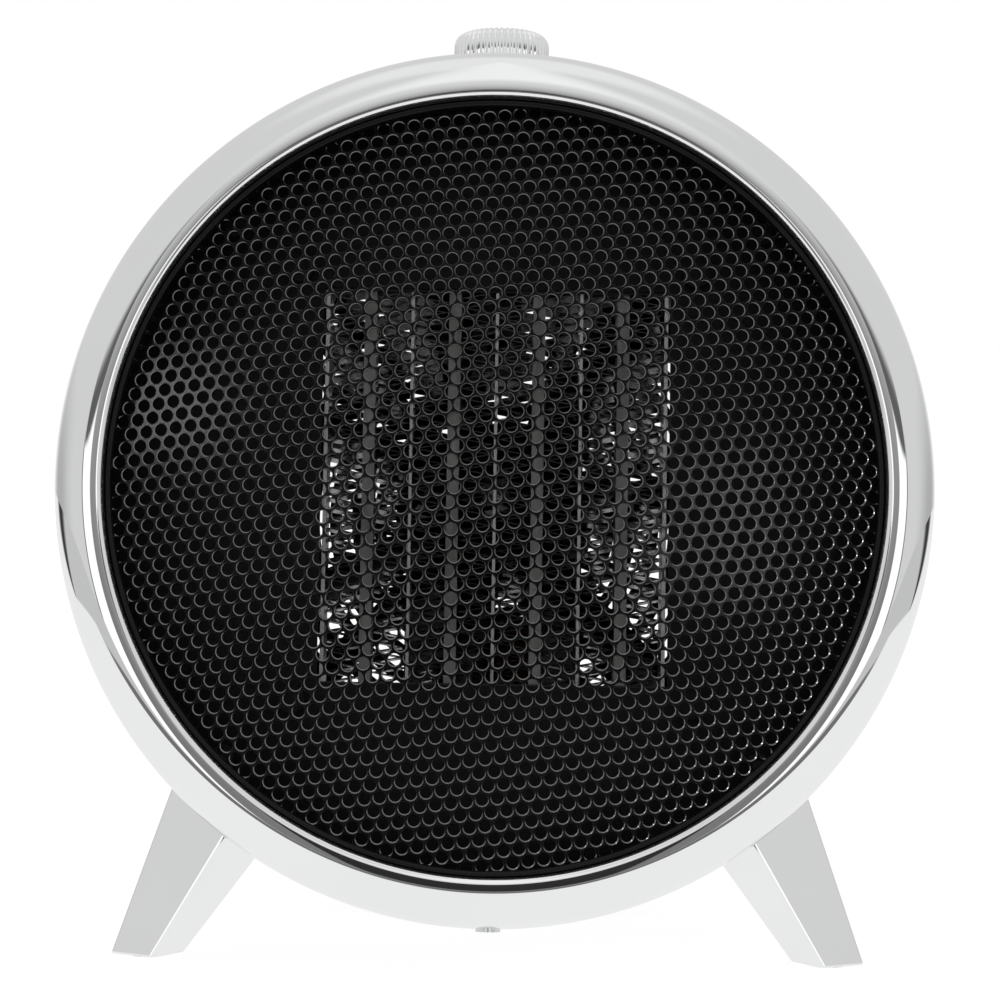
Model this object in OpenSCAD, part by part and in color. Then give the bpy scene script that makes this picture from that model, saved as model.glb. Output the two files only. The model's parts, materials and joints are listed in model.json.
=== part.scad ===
// Round ceramic fan heater: a chromed drum on four splayed legs, leaning back a little.
// The table is at z = 0, the front faces -Y and the origin is the centre of the plan.
// The drum's own frame has its origin in the middle of the bezel's widest circle,
// with y running back along the drum's axis.

/* [Drum] */
// Outer diameter of the drum shell
drum_d = 219; // [212:1:232]
// Wall of the drum shell
shell_wall = 2; // [1.6:0.1:2.6]
// Backward lean of the drum in degrees
tilt = 5; // [3:0.5:6.5]
// Height of the bezel's centre above the table
axis_h = 126; // [122:0.5:130]
// Air space between the motor and the rear cover
rear_gap = 4; // [3:0.5:12]

/* [Bezel and grille] */
// Radius of the bezel's round section
bezel_tube_r = 10; // [9:0.5:11]
// Distance from the drum's outer wall in to the middle of the bezel's section
bezel_inset = 6.5; // [5.5:0.1:7]
// Wall of the bezel
bezel_wall = 2.2; // [1.8:0.1:2.6]
// Inner radius of the bezel's opening, less than that of its crest
bezel_open_r = 99.7; // [99:0.1:101]
// Radius of the roll at the bezel's inner edge
lip_roll = 0.8; // [0.6:0.1:1.2]
// Width of the black strip that holds the grille's rim
trim_w = 1.5; // [1.2:0.1:2.2]
// Height of the grille's dome
grille_dome = 14.4; // [10:0.2:16]
// Thickness of the grille's sheet
grille_t = 0.8; // [0.6:0.1:1.2]
// Pitch of the grille's holes, drawn coarser than the real fine sheet of 3 mm holes at 4 mm
perf_pitch = 10; // [9:0.5:14]
// Diameter of the grille's holes, coarser by the same measure
perf_d = 7.5; // [6:0.1:8]
// Turn of the rows of holes against the horizontal in degrees
perf_turn = 6.6; // [0:0.1:15]

/* [Heating element] */
// Depth of the dark well between the grille and the element
well_depth = 23; // [20:0.5:28]
// Height of the finned core
core_h = 104; // [96:1:110]
// Height of the core's middle above the drum's axis
core_z = 1.8; // [0:0.1:3]
// Depth of the core from front to back
core_t = 16; // [14:0.5:20]
// Distance from one ceramic heater tube to the next
tube_pitch = 22.45; // [20:0.05:24]
// Width of a ceramic heater tube, seen from the front
tube_w = 3.2; // [2.8:0.1:4]
// Thickness of the plate between two fin packs
separator_t = 0.8; // [0.6:0.1:1.2]
// Rise of one whole wave of the corrugated fins
fin_wave = 2.7; // [2.4:0.1:4]
// Thickness of the fin's sheet
fin_t = 0.25; // [0.2:0.05:0.4]
// Height of the end caps
cap_h = 10; // [8:0.5:12]

/* [Fan and motor] */
// Space between the element and the fan shroud
plenum = 13; // [12:0.5:18]
// Tip radius of the fan
fan_r = 74; // [66:0.5:76]
// Width of the fan along its axis
fan_w = 16; // [12:0.5:20]
// Number of fan blades
blades = 7; // [5:1:9]
// Gap between the blade tips and the shroud
tip_gap = 2; // [1.5:0.1:3]
// Radius of the motor shaft
shaft_r = 2; // [1.5:0.1:2.5]
// Radius of the rotor
rotor_r = 12; // [10:0.5:13]
// Thickness of the motor's stack of sheets
stack_t = 16; // [12:0.5:20]
// Depth of copper wound on each side of the bobbin
winding_t = 7; // [5:0.5:8]

/* [Legs] */
// Distance of each foot's centre from the middle, sideways
foot_x = 90.4; // [86:0.2:96]
// Distance of the front feet behind the bezel's widest circle
front_foot_y = 28; // [24:0.5:34]
// Distance of the rear feet behind the bezel's widest circle
rear_foot_y = 99; // [94:0.5:104]
// Side of the leg's square section at the foot
foot_side = 14.6; // [12:0.2:17]
// Side of the leg's square section at its top level
leg_top_side = 34.9; // [30:0.2:38]
// Depth of the leg's top level below the drum's axis
leg_top_drop = 60; // [56:0.5:64]
// Inward shift of the leg from the foot to its top level, sideways
leg_shift_x = 35.1; // [30:0.2:40]
// Shift of the leg towards the middle from the foot to its top level, front to back
leg_shift_y = 20; // [14:0.5:24]
// Turn of the leg's square section seen from above, in degrees
leg_turn = 31.5; // [25:0.5:45]

/* [Controls] */
// Distance of the knob behind the bezel's widest circle
knob_y = 40; // [38.5:0.1:41]
// Radius of the knob
knob_r = 12.95; // [12:0.05:16]
// Height of the knob
knob_h = 15; // [13:0.5:20]
// Number of ridges round the knob
knob_ridges = 44; // [30:1:50]
// Radius of the dial plate under the knob
dial_r = 19; // [18:0.5:22]
// Radius of the rotary switch's shaft
switch_shaft_r = 3; // [2.5:0.1:3.2]
// Length of the tilt switch's pendulum from its pin to its tip
pendulum_len = 16; // [15:0.5:19]
// Radius of the pendulum's weight
pendulum_r = 4.5; // [4:0.1:6]
// Bore of the bush where a cord goes in
cord_bore_d = 7.2; // [6:0.1:8]
// Place of the bush round the drum in degrees, 0 to the right and 90 at the top
cord_angle = -70; // [-73:0.5:-68]

/* [Hidden] */
$fn = 96;
wide_r = 40;
wide_sides = 360;

// Fits shared by many pieces
fit = 0.1;
slip = 0.05;
eps = 0.01;
far = 400;

// Drum and bezel
drum_r = drum_d / 2;
drum_in = drum_r - shell_wall;
bezel_c = drum_r - bezel_inset;
bezel_rear = 0.65 * bezel_tube_r;
spigot_front = -3;
lip_in = min(bezel_open_r, bezel_c - lip_roll);
lip_wall = 2.2;
lip_c = lip_in + lip_roll;
lip_y = -sqrt(pow(bezel_tube_r - lip_roll, 2) - pow(bezel_c - lip_c, 2));

// Grille and trim ring
grille_y = -1.5;
trim_out = lip_in - slip;
trim_in = trim_out - trim_w;
trim_front = grille_y - 6;
grille_flange_r = lip_in + 5.8;
grille_R = (trim_in * trim_in + grille_dome * grille_dome) / (2 * grille_dome);
grille_c = grille_y - grille_dome + grille_R;
perf_edge = trim_in - 1;

// Screws: M3 everywhere but in the legs
m3_r = 1.5;
m3_pilot_r = 1.52;
m3_clear_r = 1.75;
m3_head_r = 2.8;
m3_head_h = 2;
boss_r = 4.2;
boss_len = 10;

// Bezel screw, radial at the bottom of the widest circle
bezel_r = bezel_c + bezel_tube_r;
bezel_screw_head_r = 3.2;
bezel_screw_seat = bezel_r - 0.7;
bezel_screw_head_h = 1.3;
bezel_pad_r = bezel_c + bezel_tube_r - bezel_wall - 0.4;
bezel_pad_w = 9;
bezel_pad_y = 3;

// Well behind the grille
baffle_t = 2;
baffle_front = grille_y + grille_t;
baffle_floor = baffle_front + well_depth - 0.3;
baffle_rear = baffle_floor + baffle_t;
baffle_r = drum_in - 1.5;
baffle_wall = 2;
baffle_screw_r = baffle_r - baffle_wall - 5;
baffle_angles = [45, 135, 225, 315];

// Element: tubes, fins, plates and rails side by side
tubes = 4;
fin_gap = 0.05;
rail_t = 1;
fin_w = (tube_pitch - tube_w - separator_t) / 2;
core_half_w = (tubes - 1) / 2 * tube_pitch + tube_w / 2 + fin_w + rail_t;
core_front = baffle_rear;
core_rear = core_front + core_t;
core_step = 1;
tube_over = 3;
tube_shell = 0.5;
stones = 4;
stone_gap = 0.6;
window_w = 2 * core_half_w + 1.2;
window_h = core_h + 1;
cap_half_w = core_half_w + 2.5;
ear_w = 9;
ear_t = 3;
ear_screw_x = cap_half_w + ear_w / 2;
ear_boss = 4;
ear_boss_r = 3.6;
cap_mid = core_h / 2 + cap_h / 2;
terminal_w = 6.3;
terminal_t = 0.8;
terminal_h = 8;

// Cutout and fuse behind the element
cutoff_r = 8;
cutoff_h = 6;
cutoff_drop = 14;
cutoff_strip_w = 14;
cutoff_strip_t = 1;
fuse_r = 1.9;
fuse_len = 12;
fuse_lead_r = 0.5;
fuse_lead_len = 9;
fuse_x = -26;

// Fan shroud and fan
shroud_front = core_rear + plenum;
shroud_t = 2;
shroud_r = drum_in - 0.3;
duct_in = fan_r + tip_gap;
duct_wall = 2;
shroud_angles = [30, 150, 210, 330];
rear_boss_r = drum_in - 6.5;
fan_front = shroud_front + shroud_t + 2;
fan_rear = fan_front + fan_w;
hub_r = 16;
hub_wall = 2;
hub_core_r = 6;
blade_t = 1.6;
blade_pitch = 32;
arm_gap = 4;
arm_t = 3;
arm_w = 8;
arms_front = fan_rear + arm_gap;
arms_rear = arms_front + arm_t;
motor_disc_r = 24;
disc_bore_r = 7;

// Motor
strap_t = 2;
post_len = 5;
stack_front = arms_rear + strap_t + post_len;
stack_rear = stack_front + stack_t;
motor_rear = stack_rear + post_len + strap_t;
rotor_gap = 0.5;
pole_r = rotor_r + rotor_gap;
stack_half_w = 25;
stack_half_h = 22;
stack_limb = 12;
window_drop = 16;
bar_top = -(stack_half_h + window_drop);
bar_h = 12;
bobbin_wall = 1;
bobbin_clear = 0.2;
bobbin_half_w = stack_half_w - stack_limb - 0.2;
motor_screw_x = 19;
post_r = 3.4;
strap_half_w = motor_screw_x + 5;
strap_half_h = 8;
bearing_r = 4;
bearing_len = 4;
bearing_run = 0.04;
shaft_air = 0.6;
press = 0.02;
cup_r = 6.5;
rotor_inset = 1;
nut_flat_r = 3.15;
nut_h = 2.4;
shaft_nut_h = 3;
shaft_nut_r = 4;
shaft_front = fan_front - shaft_nut_h - 1;
shaft_rear = motor_rear - 0.5;

// Rear cover
drum_len = motor_rear + rear_gap;
cover_t = 2.5;
cover_dome = 5;
dome_r = drum_r - 11.5;
dome_R = (dome_r * dome_r + cover_dome * cover_dome) / (2 * cover_dome);
dome_c = drum_len + cover_t + cover_dome - dome_R;
cover_angles = [60, 120, 240, 300];
slot_w = 3;
slot_pitch = 6.5;
slot_first = 24;
slot_last = dome_r - 4;
rib_w = 5;
ribs = 8;
inlet_r = drum_in - 10.5;
inlet_pad_r = 9;
inlet_front = drum_len - 2;
inlet_rear = drum_len + cover_t + 2.5;
bush_wall = 2.4;
bush_flange = 1.6;
cord_bore_r = cord_bore_d / 2;
bush_r = cord_bore_r + bush_wall;

// Legs, in a frame that stands upright on the table below the bezel's centre
pad_proud = 0.6;
pad_r = 4.5;
pad_t = 2.5;
foot_round = 2;
top_round = 3;
leg_top_h = axis_h - leg_top_drop;
leg_screw_h = 42;
leg_screw_shank_r = 2;
leg_screw_head_r = 3.5;
leg_screw_head_h = 2.5;
leg_screw_reach = 12;
front_reach = bezel_c * sin(tilt) + bezel_tube_r;
foot_half = (foot_side / 2 - foot_round) * (cos(leg_turn) + sin(leg_turn)) + foot_round;
cover_reach = (drum_len + cover_t) * cos(tilt) + drum_r * sin(tilt);
back_reach = max(cover_reach, rear_foot_y + foot_half);
drum_y = (front_reach - back_reach) / 2;

// Controls on top
dial_top = drum_r + 2;
knob_gap = 0.6;
knob_base = dial_top + knob_gap;
knob_top = knob_base + knob_h;
knob_shoulder = 3.5;
knob_groove_r = 0.55;
knob_hollow_r = 9;
knob_hollow_h = 4.4;
switch_top = drum_in - 2;
switch_half_w = 14;
switch_half_d = 11;
switch_h = 18;
switch_collar_r = 7;
switch_collar_h = 1.7;
bushing_r = 4.5;
bushing_top = dial_top + 3;
switch_nut_r = 6.9;
switch_nut_h = 2;
switch_floor = switch_top - switch_h;
switch_shaft_foot = switch_floor + 4;
switch_tab = 7;
switch_shaft_top = knob_top - 4.5;

// Tilt switch on the drum's floor
tip_floor = drum_in - 3.5;
tip_wall = 1.6;
tip_air = 1.2;
tip_half_w = pendulum_r + tip_air + tip_wall;
tip_swing = 20;
tip_half_d = pendulum_len * sin(tip_swing) + pendulum_r + tip_air + tip_wall;
tip_y = arms_rear + 1 + tip_half_d;
tip_pin_up = pendulum_len + tip_wall + tip_air;
tip_h = tip_pin_up + 3;
tip_pin_r = 1;
tip_eye_r = 2.6;
tip_stem_r = 1.3;
tip_weight_h = 7;
tip_pin_z = -tip_floor + tip_pin_up;

// Terminal block on the drum's floor
block_x = 36;
block_w = 20;
block_d = 14;
block_h = 11;
block_y = tip_y;
block_z = -(drum_in - 12);

// Frames and turned shapes
module in_drum() {
  translate([0, drum_y, axis_h]) rotate([-tilt, 0, 0]) children();
}

module turned(sides = 180) {
  rotate([-90, 0, 0]) rotate_extrude($fn = sides) children();
}

module bar(r, y0, y1) {
  translate([0, y0, 0]) rotate([-90, 0, 0])
    cylinder(r = r, h = y1 - y0, $fn = r > wide_r ? wide_sides : $fn);
}

module pipe(r_out, r_in, y0, y1) {
  difference() {
    bar(r_out, y0, y1);
    bar(r_in, y0 - 1, y1 + 1);
  }
}

module flat(y0, y1) {
  translate([0, y1, 0]) rotate([90, 0, 0]) linear_extrude(y1 - y0) children();
}

module box(x0, x1, y0, y1, z0, z1) {
  translate([x0, y0, z0]) cube([x1 - x0, y1 - y0, z1 - z0]);
}

module mid_box(half_w, y0, y1, z0, z1) {
  box(-half_w, half_w, y0, y1, z0, z1);
}

module at_angle(a, r) {
  translate([r * cos(a), 0, r * sin(a)]) children();
}

// Points local y at z outwards along a radius of the drum, at angle a
module along_radius(a, y) {
  translate([0, y, 0]) rotate([0, 90 - a, 0]) children();
}

module screw_y(y_head, y_tip, shank_r, head_r, head_h) {
  // A pan head screw that points back, its head's underside at y_head
  bar(shank_r, y_head - eps, y_tip);
  bar(head_r, y_head - head_h, y_head);
}

module boss(a, r, y0, y1) {
  // A screw boss with a web out to the shell
  at_angle(a, r) bar(boss_r, y0, y1);
  rotate([0, -a, 0]) box(r, drum_in + shell_wall / 2, y0, y1, -boss_r + 1.4, boss_r - 1.4);
}

// Drum shell with its bosses
module drum_housing() {
  color("#d8dadc") in_drum() difference() {
    union() {
      pipe(drum_r, drum_in, spigot_front, drum_len);
      for (a = baffle_angles) boss(a, baffle_screw_r, baffle_rear, baffle_rear + boss_len);
      for (a = shroud_angles) {
        boss(a, rear_boss_r, shroud_front + shroud_t, shroud_front + shroud_t + boss_len);
      }
      for (a = cover_angles) boss(a, rear_boss_r, drum_len - boss_len - 2, drum_len);
      box(-bezel_pad_w / 2, bezel_pad_w / 2, spigot_front, bezel_pad_y,
          -bezel_pad_r, -drum_r + shell_wall / 2);
      intersection() {
        bar(drum_r - shell_wall / 2, spigot_front, drum_len);
        union() {
          box(-tip_half_w, tip_half_w, tip_y - tip_half_d, tip_y + tip_half_d,
              -drum_r, -tip_floor);
          box(block_x - block_w / 2, block_x + block_w / 2, block_y - block_d / 2,
              block_y + block_d / 2, -drum_r, block_z);
        }
      }
    }
    for (a = baffle_angles) {
      at_angle(a, baffle_screw_r) bar(m3_pilot_r, baffle_rear - 1, baffle_rear + 8);
    }
    for (a = shroud_angles) {
      at_angle(a, rear_boss_r)
        bar(m3_pilot_r, shroud_front, shroud_front + shroud_t + 8);
    }
    for (a = cover_angles) {
      at_angle(a, rear_boss_r) bar(m3_pilot_r, drum_len - 9, drum_len + 1);
    }
    along_radius(-90, 0) translate([0, 0, drum_in - 1])
      cylinder(r = m3_pilot_r, h = bezel_tube_r);
    along_radius(90, knob_y) translate([0, 0, drum_in - 2]) cylinder(r = bushing_r + fit, h = 9);
    for (s = [-1, 1]) for (f = [true, false]) leg_screw_bore(s, f, leg_screw_shank_r + 0.25);
  }
}

module bezel_section() {
  difference() {
    union() {
      intersection() {
        translate([bezel_c, 0]) circle(r = bezel_tube_r);
        union() {
          translate([bezel_c, -far]) square([far, far + bezel_rear]);
          translate([lip_c, -far]) square([far, far + grille_y]);
        }
      }
      translate([lip_c, lip_y]) circle(r = lip_roll);
      translate([lip_in, lip_y]) square([lip_wall, grille_y - lip_y]);
    }
    intersection() {
      translate([bezel_c, 0]) circle(r = bezel_tube_r - bezel_wall);
      translate([lip_in + lip_wall, -far]) square([far, 2 * far]);
    }
    translate([bezel_c - 1, grille_y]) square([drum_r + fit - bezel_c + 1, far]);
  }
}

module front_bezel() {
  color("#e4e6e8") in_drum() difference() {
    turned() bezel_section();
    along_radius(-90, 0) translate([0, 0, drum_r]) cylinder(r = m3_clear_r, h = far);
    along_radius(-90, 0) translate([0, 0, bezel_screw_seat])
      cylinder(r = bezel_screw_head_r + 0.4, h = far);
  }
}

module bezel_screw() {
  color("#c9cbcd") in_drum() along_radius(-90, 0) difference() {
    union() {
      translate([0, 0, drum_in - 0.2]) cylinder(r = m3_r, h = bezel_screw_seat - drum_in + 0.3);
      translate([0, 0, bezel_screw_seat]) cylinder(r = bezel_screw_head_r, h = bezel_screw_head_h);
    }
    for (a = [0, 90]) rotate(a) translate([-1.7, -0.35, bezel_screw_seat + 0.5])
      cube([3.4, 0.7, 2]);
  }
}

module grille_trim_ring() {
  // A rolled strip: a round bead in front, a flat foot on the grille's rim
  color("#26272a") in_drum() turned() union() {
    translate([(trim_in + trim_out) / 2, trim_front + trim_w / 2]) circle(r = trim_w / 2);
    translate([trim_in, trim_front + trim_w / 2]) square([trim_w, grille_y - trim_front - trim_w / 2]);
  }
}

// Domed perforated steel sheet with a flat rim, its holes square to the dome
module perforation() {
  step = perf_pitch * sqrt(3) / 2;
  reach = ceil(perf_edge / step) + 1;
  for (row = [-reach : reach]) for (col = [-reach : reach]) {
    x = (col + (row % 2 == 0 ? 0 : 0.5)) * perf_pitch;
    z = row * step;
    r = norm([x, z]);
    if (r + perf_d / 2 < perf_edge) rotate([0, -perf_turn - atan2(z, x), 0])
      rotate([0, 0, asin(r / grille_R)]) rotate([90, 0, 0])
        translate([0, 0, grille_R - 2 * grille_t]) cylinder(d = perf_d, h = 3 * grille_t, $fn = 24);
  }
}

module dome(R, centre, t) {
  // Part of a hollow sphere in front of its own centre
  intersection() {
    translate([0, centre, 0]) difference() {
      sphere(r = R, $fn = 360);
      sphere(r = R - t, $fn = 360);
    }
    children();
  }
}

module front_grille() {
  color("#202124") in_drum() difference() {
    union() {
      dome(grille_R, grille_c, grille_t) bar(trim_in, grille_y - grille_dome - 1, 0);
      pipe(grille_flange_r, trim_in - 0.4, grille_y, grille_y + grille_t);
    }
    translate([0, grille_c, 0]) perforation();
  }
}

// Dark well that frames the element
module outlet_baffle() {
  color("#1a1b1d") in_drum() difference() {
    union() {
      pipe(baffle_r, baffle_r - baffle_wall, baffle_front, baffle_rear);
      bar(baffle_r - 1, baffle_floor, baffle_rear);
      pipe(drum_in - fit, baffle_r - 1, baffle_floor, baffle_rear);
      for (s = [-1, 1]) for (t = [-1, 1]) {
        translate([s * ear_screw_x, 0, core_z + t * cap_mid])
          bar(ear_boss_r, baffle_floor - ear_boss, baffle_rear);
      }
    }
    box(-window_w / 2, window_w / 2, baffle_floor - far, baffle_rear + 1,
        core_z - window_h / 2, core_z + window_h / 2);
    for (a = baffle_angles) {
      at_angle(a, baffle_screw_r) bar(m3_clear_r, baffle_floor - 1, baffle_rear + 1);
    }
    for (s = [-1, 1]) for (t = [-1, 1]) {
      translate([s * ear_screw_x, 0, core_z + t * cap_mid])
        bar(m3_pilot_r, baffle_floor - ear_boss + 1, baffle_rear + 1);
    }
  }
}

module baffle_screws() {
  color("#3a3b3d") in_drum() for (a = baffle_angles) {
    at_angle(a, baffle_screw_r)
      screw_y(baffle_floor, baffle_rear + 7, m3_r, m3_head_r, m3_head_h);
  }
}

// Heating element
function tube_x(i) = (i - (tubes - 1) / 2) * tube_pitch;

module end_cap(side) {
  z0 = core_z + side * cap_mid;
  color("#2a2b2e") in_drum() difference() {
    union() {
      box(-cap_half_w, cap_half_w, core_front, core_rear, z0 - cap_h / 2, z0 + cap_h / 2);
      box(-cap_half_w - ear_w, cap_half_w + ear_w, core_front, core_front + ear_t,
          z0 - cap_h / 2, z0 + cap_h / 2);
    }
    for (i = [0 : tubes - 1]) {
      translate([tube_x(i), 0, core_z + side * core_h / 2])
        box(-tube_w / 2 - slip, tube_w / 2 + slip, core_front + core_step - slip,
            core_rear - core_step + slip, -tube_over - slip, tube_over + slip);
    }
    for (s = [-1, 1]) {
      translate([s * ear_screw_x, 0, z0]) bar(m3_clear_r, core_front - 1, core_front + ear_t + 1);
    }
  }
}

module element_top_cap() {
  difference() {
    end_cap(1);
    in_drum() for (i = [0 : tubes - 1]) {
      box(tube_x(i) - terminal_w / 2 - slip, tube_x(i) + terminal_w / 2 + slip,
          (core_front + core_rear) / 2 - terminal_t / 2 - slip,
          (core_front + core_rear) / 2 + terminal_t / 2 + slip,
          core_z + core_h / 2 + tube_over, core_z + core_h / 2 + cap_h + 1);
    }
  }
}

module element_bottom_cap() {
  end_cap(-1);
}

module ptc_tubes() {
  color("#a9aba8") in_drum() for (i = [0 : tubes - 1]) {
    translate([tube_x(i), 0, core_z]) difference() {
      box(-tube_w / 2, tube_w / 2, core_front + core_step, core_rear - core_step,
          -core_h / 2 - tube_over, core_h / 2 + tube_over);
      box(-tube_w / 2 + tube_shell, tube_w / 2 - tube_shell, core_front + core_step + tube_shell,
          core_rear - core_step - tube_shell, -far, far);
    }
  }
}

module ptc_ceramics() {
  stone_h = core_h / stones - stone_gap;
  stone_w = tube_w / 2 - tube_shell - slip;
  color("#8c6f5c") in_drum() for (i = [0 : tubes - 1]) for (k = [0 : stones - 1]) {
    translate([tube_x(i), 0, core_z - core_h / 2 + (k + 0.5) * core_h / stones])
      box(-stone_w, stone_w, core_front + core_step + tube_shell + slip,
          core_rear - core_step - tube_shell - slip, -stone_h / 2, stone_h / 2);
  }
}

module fin_zigzag(w) {
  // Corrugated sheet, seen from the front: the sheet's thickness is its shift times its slope
  folds = floor(core_h / (fin_wave / 2));
  rise = core_h / folds;
  shift = fin_t * norm([w, rise]) / rise;
  left = [for (i = [0 : folds]) [(i % 2 == 0 ? 0 : w - shift), i * rise - core_h / 2]];
  right = [for (i = [folds : -1 : 0]) left[i] + [shift, 0]];
  polygon(concat(left, right));
}

module fin_packs() {
  w = fin_w - 2 * fin_gap;
  color("#c4c6c6") in_drum() for (i = [0 : tubes - 1]) for (s = [-1, 1]) {
    translate([tube_x(i) + s * (tube_w / 2 + fin_w / 2) - w / 2, 0, core_z])
      flat(core_front + core_step, core_rear - core_step) fin_zigzag(w);
  }
}

module fin_separators() {
  color("#b4b6b6") in_drum() for (i = [0 : tubes - 2]) {
    translate([(tube_x(i) + tube_x(i + 1)) / 2, 0, core_z])
      box(-separator_t / 2, separator_t / 2, core_front + core_step / 2,
          core_rear - core_step / 2, -core_h / 2, core_h / 2);
  }
}

module element_side_rails() {
  color("#b4b6b6") in_drum() for (s = [-1, 1]) {
    translate([s * (core_half_w - rail_t / 2), 0, core_z])
      box(-rail_t / 2, rail_t / 2, core_front, core_rear, -core_h / 2, core_h / 2);
  }
}

module element_terminals() {
  y = (core_front + core_rear) / 2;
  color("#c8a04a") in_drum() for (i = [0 : tubes - 1]) {
    difference() {
      box(tube_x(i) - terminal_w / 2, tube_x(i) + terminal_w / 2, y - terminal_t / 2,
          y + terminal_t / 2, core_z + core_h / 2 + tube_over + slip,
          core_z + core_h / 2 + cap_h + terminal_h);
      translate([tube_x(i), 0, core_z + core_h / 2 + cap_h + terminal_h - 3])
        bar(0.9, y - 2, y + 2);
    }
  }
}

module element_screws() {
  color("#8d8f91") in_drum() for (s = [-1, 1]) for (t = [-1, 1]) {
    translate([s * ear_screw_x, 0, core_z + t * cap_mid]) {
      bar(m3_r, baffle_floor - ear_boss + 1.5, core_front + ear_t + eps);
      bar(m3_head_r, core_front + ear_t, core_front + ear_t + m3_head_h);
    }
  }
}

module cutoff_bracket() {
  z_top = core_z + core_h / 2 + cap_h - 1;
  z_low = core_z + core_h / 2 - cutoff_drop - cutoff_r - 1;
  color("#9c9ea0") in_drum() difference() {
    box(-cutoff_strip_w / 2, cutoff_strip_w / 2, core_rear, core_rear + cutoff_strip_t,
        z_low, z_top);
    translate([0, 0, core_z + core_h / 2 - cutoff_drop])
      bar(2.5, core_rear - 1, core_rear + cutoff_strip_t + 1);
  }
}

module thermal_cutoff() {
  y = core_rear + cutoff_strip_t;
  color("#3b2f2a") in_drum() translate([0, 0, core_z + core_h / 2 - cutoff_drop]) union() {
    bar(cutoff_r, y, y + cutoff_h - 2);
    bar(cutoff_r - 1.5, y + cutoff_h - 2 - eps, y + cutoff_h);
    for (s = [-1, 1]) box(s * 4.5 - 1.6, s * 4.5 + 1.6, y + cutoff_h - eps, y + cutoff_h + 4.5,
                          -0.4, 0.4);
  }
}

module thermal_fuse() {
  z = core_z + core_h / 2 + cap_h / 2;
  color("#d9d3c4") in_drum()
    translate([fuse_x, core_rear + fuse_r + slip, z]) rotate([0, 90, 0]) union() {
      translate([0, 0, -fuse_len / 2]) cylinder(r = fuse_r, h = fuse_len);
      translate([0, 0, -fuse_len / 2 - fuse_lead_len])
        cylinder(r = fuse_lead_r, h = fuse_len + 2 * fuse_lead_len);
    }
}

// Fan
module fan_shroud() {
  color("#26272a") in_drum() difference() {
    union() {
      pipe(shroud_r, duct_in, shroud_front, shroud_front + shroud_t);
      pipe(duct_in + duct_wall, duct_in, shroud_front, arms_rear);
      bar(motor_disc_r, arms_front, arms_rear);
      for (a = [45 : 90 : 315]) rotate([0, -a, 0])
        box(motor_disc_r - 2, duct_in + duct_wall / 2, arms_front, arms_rear,
            -arm_w / 2, arm_w / 2);
    }
    bar(disc_bore_r, arms_front - 1, arms_rear + 1);
    for (a = shroud_angles) {
      at_angle(a, rear_boss_r) bar(m3_clear_r, shroud_front - 1, shroud_front + shroud_t + 1);
    }
    for (s = [-1, 1]) translate([s * motor_screw_x, 0, 0])
      bar(m3_clear_r, arms_front - 1, arms_rear + 1);
  }
}

module shroud_screws() {
  color("#8d8f91") in_drum() for (a = shroud_angles) {
    at_angle(a, rear_boss_r)
      screw_y(shroud_front, shroud_front + shroud_t + 7, m3_r, m3_head_r, m3_head_h);
  }
}

module blade() {
  // A cambered blade: part of a ring about a radius, set at the pitch angle
  chord = fan_w / sin(blade_pitch) - 4;
  camber_R = 1.4 * chord;
  translate([0, (fan_front + fan_rear) / 2, 0]) rotate([0, 90, 0]) rotate([0, 0, 90 - blade_pitch])
    translate([0, 0, hub_r - 0.6]) linear_extrude(fan_r - hub_r + 0.6) intersection() {
      translate([0, -camber_R * cos(asin(0.5 * chord / camber_R))]) difference() {
        circle(r = camber_R + blade_t / 2);
        circle(r = camber_R - blade_t / 2);
      }
      translate([-chord / 2, -blade_t]) square([chord, chord / 3]);
    }
}

module fan_impeller() {
  color("#1d2a3a") in_drum() difference() {
    union() {
      difference() {
        bar(hub_r, fan_front, fan_rear);
        bar(hub_r - hub_wall, fan_front + hub_wall, fan_rear + 1);
      }
      bar(hub_core_r, fan_front, fan_rear);
      intersection() {
        for (i = [0 : blades - 1]) rotate([0, i * 360 / blades, 0]) blade();
        pipe(fan_r, hub_r - 0.6, fan_front, fan_rear);
      }
    }
    bar(shaft_r + press, fan_front - 1, fan_rear + 1);
  }
}

module impeller_nut() {
  color("#b8babc") in_drum() difference() {
    translate([0, fan_front - shaft_nut_h, 0]) rotate([-90, 0, 0])
      cylinder(r = shaft_nut_r, h = shaft_nut_h, $fn = 6);
    bar(shaft_r + press, fan_front - far, fan_front + 1);
  }
}

module motor_shaft() {
  color("#c6c8ca") in_drum() bar(shaft_r, shaft_front, shaft_rear);
}

module motor_rotor() {
  color("#9a9c9e") in_drum()
    pipe(rotor_r, shaft_r + press, stack_front + rotor_inset, stack_rear - rotor_inset);
}

module motor_stator() {
  color("#6f7478") in_drum() difference() {
    flat(stack_front, stack_rear) difference() {
      translate([-stack_half_w, bar_top - bar_h])
        square([2 * stack_half_w, stack_half_h - bar_top + bar_h]);
      translate([-stack_half_w + stack_limb, bar_top])
        square([2 * (stack_half_w - stack_limb), window_drop]);
      circle(r = pole_r);
      for (s = [-1, 1]) translate([s * motor_screw_x, 0]) circle(r = m3_clear_r);
    }
    for (s = [-1, 1]) box(s * pole_r * 0.75 - 0.5, s * pole_r * 0.75 + 0.5, stack_front - 1,
                          stack_rear + 1, s > 0 ? 0 : -pole_r - 2, s > 0 ? pole_r + 2 : 0);
  }
}

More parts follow.
